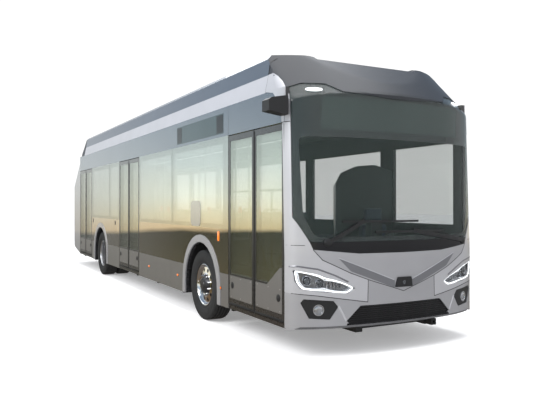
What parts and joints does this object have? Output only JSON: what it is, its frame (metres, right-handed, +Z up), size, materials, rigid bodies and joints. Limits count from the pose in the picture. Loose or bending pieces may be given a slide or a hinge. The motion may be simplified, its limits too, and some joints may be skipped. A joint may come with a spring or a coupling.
{
  "type": "city bus",
  "caption": "Low-floor city bus with twin-leaf doors, steered front wheels, twin rear wheels, glazed cabin with seats and a roof with fairings",
  "frame": {"origin": "on the ground under the middle of the overall length and width", "axes": "+Z up, the nose points to -Y, the doors are on -X"},
  "size_m": [3.0006, 12.1233, 3.285],
  "materials": {
    "silver_paint": "satin",
    "light_silver": "satin",
    "slate_paint": "satin",
    "dark_paint": "gloss",
    "chassis_black": "matte",
    "clear_glass": "gloss",
    "tyre_rubber": "matte",
    "wheel_alloy": "polished",
    "black_plastic": "matte",
    "lamp_clear": "gloss",
    "lamp_red": "gloss",
    "floor_grey": "matte",
    "cabin_grey": "matte",
    "seat_fabric": "matte",
    "seat_plastic": "matte",
    "rail_steel": "brushed",
    "cast_dark": "matte"
  },
  "bodies": {
    "body": {"wall_right": "dark_paint", "wall_left": "dark_paint", "side_glass": "clear_glass", "side_panels": "dark_paint", "skirts": "silver_paint", "arch_trims": "light_silver", "roof": "cabin_grey", "roof_edges": "slate_paint", "roof_pods": "slate_paint", "windscreen": "clear_glass", "front_panel": "light_silver", "front_corners": "light_silver", "front_bumper": "silver_paint", "lower_grille": "black_plastic", "front_lamps": "lamp_clear", "roof_caps": "slate_paint", "rear_panels": "silver_paint", "rear_window": "clear_glass", "tail_lamps": "lamp_red", "rear_bumper": "silver_paint", "rear_bulkhead": "cabin_grey", "floor": "floor_grey", "wheel_housings": "chassis_black", "underframe": "chassis_black", "traction_battery": "chassis_black", "front_axle": "cast_dark", "rear_axle": "cast_dark", "dashboard": "black_plastic", "steering_wheel": "black_plastic", "driver_seat": "seat_fabric", "cab_partition": "black_plastic", "destination_sign": "black_plastic", "passenger_seats": "seat_plastic", "handrails": "rail_steel", "camera_pods": "black_plastic", "wipers": "black_plastic"},
    "knuckle_left": {"knuckle_left": "cast_dark"},
    "wheel_front_left": {"tyre_front_left": "tyre_rubber", "rim_front_left": "wheel_alloy"},
    "wheels_rear_left": {"tyres_rear_left": "tyre_rubber", "rims_rear_left": "wheel_alloy"},
    "knuckle_right": {"knuckle_right": "cast_dark"},
    "wheel_front_right": {"tyre_front_right": "tyre_rubber", "rim_front_right": "wheel_alloy"},
    "wheels_rear_right": {"tyres_rear_right": "tyre_rubber", "rims_rear_right": "wheel_alloy"},
    "leaf_a_front": {"door_a_front": "dark_paint", "door_glass_a_front": "clear_glass"},
    "leaf_a_rear": {"door_a_rear": "dark_paint", "door_glass_a_rear": "clear_glass"},
    "leaf_b_front": {"door_b_front": "dark_paint", "door_glass_b_front": "clear_glass"},
    "leaf_b_rear": {"door_b_rear": "dark_paint", "door_glass_b_rear": "clear_glass"},
    "leaf_c_front": {"door_c_front": "dark_paint", "door_glass_c_front": "clear_glass"},
    "leaf_c_rear": {"door_c_rear": "dark_paint", "door_glass_c_rear": "clear_glass"},
    "rear_lid": {"rear_lid": "silver_paint"}
  },
  "joints": [
    {"name": "steer_left", "type": "hinge", "parent": "body", "child": "knuckle_left", "pos_m": [0.9805, -3.36, 0.4785], "axis": [0, 0, 1], "range_deg": [-45, 45]},
    {"name": "spin_front_left", "type": "hinge", "parent": "knuckle_left", "child": "wheel_front_left", "pos_m": [1.1075, -3.36, 0.4785], "axis": [1, 0, 0], "continuous": true},
    {"name": "spin_rear_left", "type": "hinge", "parent": "body", "child": "wheels_rear_left", "pos_m": [1.1075, 2.7, 0.4785], "axis": [1, 0, 0], "continuous": true},
    {"name": "steer_right", "type": "hinge", "parent": "body", "child": "knuckle_right", "pos_m": [-0.9805, -3.36, 0.4785], "axis": [0, 0, 1], "range_deg": [-45, 45]},
    {"name": "spin_front_right", "type": "hinge", "parent": "knuckle_right", "child": "wheel_front_right", "pos_m": [-1.1075, -3.36, 0.4785], "axis": [1, 0, 0], "continuous": true},
    {"name": "spin_rear_right", "type": "hinge", "parent": "body", "child": "wheels_rear_right", "pos_m": [-1.1075, 2.7, 0.4785], "axis": [1, 0, 0], "continuous": true},
    {"name": "open_a_front", "type": "hinge", "parent": "body", "child": "leaf_a_front", "pos_m": [-1.255, -5.656, 1.39], "axis": [0, 0, -1], "range_deg": [0, 90]},
    {"name": "open_a_rear", "type": "hinge", "parent": "body", "child": "leaf_a_rear", "pos_m": [-1.255, -4.334, 1.39], "axis": [0, 0, 1], "range_deg": [0, 90]},
    {"name": "open_b_front", "type": "hinge", "parent": "body", "child": "leaf_b_front", "pos_m": [-1.255, -0.3358, 1.39], "axis": [0, 0, -1], "range_deg": [0, 90]},
    {"name": "open_b_rear", "type": "hinge", "parent": "body", "child": "leaf_b_rear", "pos_m": [-1.255, 0.9862, 1.39], "axis": [0, 0, 1], "range_deg": [0, 90]},
    {"name": "open_c_front", "type": "hinge", "parent": "body", "child": "leaf_c_front", "pos_m": [-1.255, 3.654, 1.39], "axis": [0, 0, -1], "range_deg": [0, 90]},
    {"name": "open_c_rear", "type": "hinge", "parent": "body", "child": "leaf_c_rear", "pos_m": [-1.255, 4.976, 1.39], "axis": [0, 0, 1], "range_deg": [0, 90]},
    {"name": "open_rear_lid", "type": "hinge", "parent": "body", "child": "rear_lid", "pos_m": [0, 6.0568, 1.488], "axis": [1, 0, 0], "range_deg": [0, 75]}
  ],
  "couplings": [
    {"joint": "steer_right", "follows": "steer_left", "ratio": 1}
  ]
}
